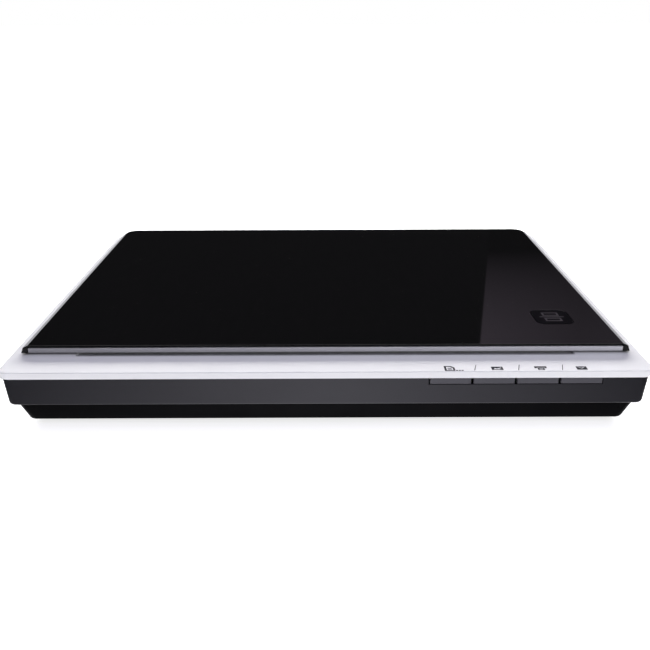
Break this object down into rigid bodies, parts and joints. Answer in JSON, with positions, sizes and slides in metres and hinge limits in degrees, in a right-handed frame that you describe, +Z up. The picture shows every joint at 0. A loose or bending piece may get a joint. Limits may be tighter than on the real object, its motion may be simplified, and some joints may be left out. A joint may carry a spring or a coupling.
{
  "type": "flatbed scanner",
  "caption": "Slim landscape flatbed document scanner with a hinged black lid over a glass platen, push buttons on its front edge and a sensor carriage on a rod inside.",
  "frame": {"origin": "on the table, under the middle of the casing", "axes": "+X along the long side towards the buttons' end, -Y towards the user, +Z up"},
  "size_m": [0.366, 0.27, 0.0441],
  "materials": {
    "badge_black": "gloss black inlay",
    "band_graphite": "satin graphite grey",
    "base_black": "fine moulded texture, black",
    "button_plastic": "satin dark grey",
    "carriage_black": "moulded black",
    "circuit_board": "green solder mask",
    "cover_white": "satin white",
    "foot_rubber": "matt black rubber",
    "hinge_plastic": "moulded black",
    "lens_glass": "row of rod lenses in dark resin",
    "lid_frame_black": "moulded black",
    "lid_gloss_black": "high gloss black",
    "light_guide_clear": "clear acrylic",
    "motor_steel": "plated steel can",
    "natural_nylon": "natural off-white",
    "pad_foam": "open grey foam",
    "pad_white": "white film",
    "pinion_brass": "machined",
    "platen_glass": "clear float glass, polished",
    "ribbon_film": "white flat cable with a blue end",
    "rod_steel": "ground and polished",
    "screw_steel": "zinc plated",
    "seal_tape": "black adhesive tape",
    "sensor_black": "moulded black",
    "socket_plastic": "moulded black",
    "socket_steel": "stamped tin-plated steel",
    "spring_steel": "bright spring wire",
    "trim_grey": "satin metallic grey",
    "white_film": "white reference film"
  },
  "bodies": {
    "base": {"button_board": "circuit_board", "calibration_strip": "white_film", "case_band": "band_graphite", "case_screw_front_left": "screw_steel", "case_screw_front_right": "screw_steel", "case_screw_middle_left": "screw_steel", "case_screw_middle_right": "screw_steel", "case_screw_rear_left": "screw_steel", "case_screw_rear_right": "screw_steel", "drive_rack": "natural_nylon", "foot_front_left": "foot_rubber", "foot_front_right": "foot_rubber", "foot_rear_left": "foot_rubber", "foot_rear_right": "foot_rubber", "glass_seal": "seal_tape", "guide_rod": "rod_steel", "lower_case": "base_black", "main_board": "circuit_board", "platen_glass": "platen_glass", "ribbon_cable": "ribbon_film", "rod_clip_left": "natural_nylon", "rod_clip_right": "natural_nylon", "top_cover": "cover_white", "usb_insert": "socket_plastic", "usb_shell": "socket_steel"},
    "hinge_arms": {"hinge_arm_left": "hinge_plastic", "hinge_arm_right": "hinge_plastic"},
    "lid": {"lid_cover": "lid_gloss_black", "lid_badge": "badge_black", "lid_front_trim": "trim_grey", "lid_frame": "lid_frame_black", "pad_foam": "pad_foam", "pad_sheet": "pad_white", "lid_bumper_left": "foot_rubber", "lid_bumper_right": "foot_rubber", "hinge_pin_left": "rod_steel", "hinge_pin_right": "rod_steel"},
    "button_document": {"button_document": "button_plastic"},
    "button_photo": {"button_photo": "button_plastic"},
    "button_copy": {"button_copy": "button_plastic"},
    "button_send": {"button_send": "button_plastic"},
    "carriage": {"carriage_cradle": "carriage_black", "sensor_housing": "sensor_black", "rod_lens_array": "lens_glass", "light_guide": "light_guide_clear", "sensor_board": "circuit_board", "glass_glider_front": "natural_nylon", "glass_glider_rear": "natural_nylon", "sensor_spring_front": "spring_steel", "sensor_spring_rear": "spring_steel", "stepper_motor": "motor_steel", "gear_axle": "rod_steel"},
    "drive_gear": {"drive_gear": "natural_nylon"},
    "motor_pinion": {"motor_pinion": "pinion_brass"}
  },
  "joints": [
    {"name": "lid_lift", "type": "slide", "parent": "base", "child": "hinge_arms", "axis": [0, 0, 1], "range_m": [0, 0.012]},
    {"name": "lid_hinge", "type": "hinge", "parent": "hinge_arms", "child": "lid", "pos_m": [0, 0.13, 0.0398], "axis": [-1, 0, 0], "range_deg": [0, 95]},
    {"name": "button_document_press", "type": "slide", "parent": "base", "child": "button_document", "axis": [0, 1, 0], "range_m": [0, 0.001], "stiffness_N_per_m": 600, "springref_m": -0.0005},
    {"name": "button_photo_press", "type": "slide", "parent": "base", "child": "button_photo", "axis": [0, 1, 0], "range_m": [0, 0.001], "stiffness_N_per_m": 600, "springref_m": -0.0005},
    {"name": "button_copy_press", "type": "slide", "parent": "base", "child": "button_copy", "axis": [0, 1, 0], "range_m": [0, 0.001], "stiffness_N_per_m": 600, "springref_m": -0.0005},
    {"name": "button_send_press", "type": "slide", "parent": "base", "child": "button_send", "axis": [0, 1, 0], "range_m": [0, 0.001], "stiffness_N_per_m": 600, "springref_m": -0.0005},
    {"name": "carriage_slide", "type": "slide", "parent": "base", "child": "carriage", "axis": [1, 0, 0], "range_m": [0, 0.302], "deforming": ["ribbon_cable"]},
    {"name": "drive_gear_spin", "type": "hinge", "parent": "carriage", "child": "drive_gear", "pos_m": [-0.151, -0.015, 0.0065], "axis": [0, 0, 1], "continuous": true},
    {"name": "motor_pinion_spin", "type": "hinge", "parent": "carriage", "child": "motor_pinion", "pos_m": [-0.151, -0.0315, 0.0064], "axis": [0, 0, 1], "continuous": true}
  ],
  "couplings": [
    {"joint": "drive_gear_spin", "follows": "carriage_slide", "rad_per_m": 200},
    {"joint": "motor_pinion_spin", "follows": "carriage_slide", "rad_per_m": -900}
  ]
}
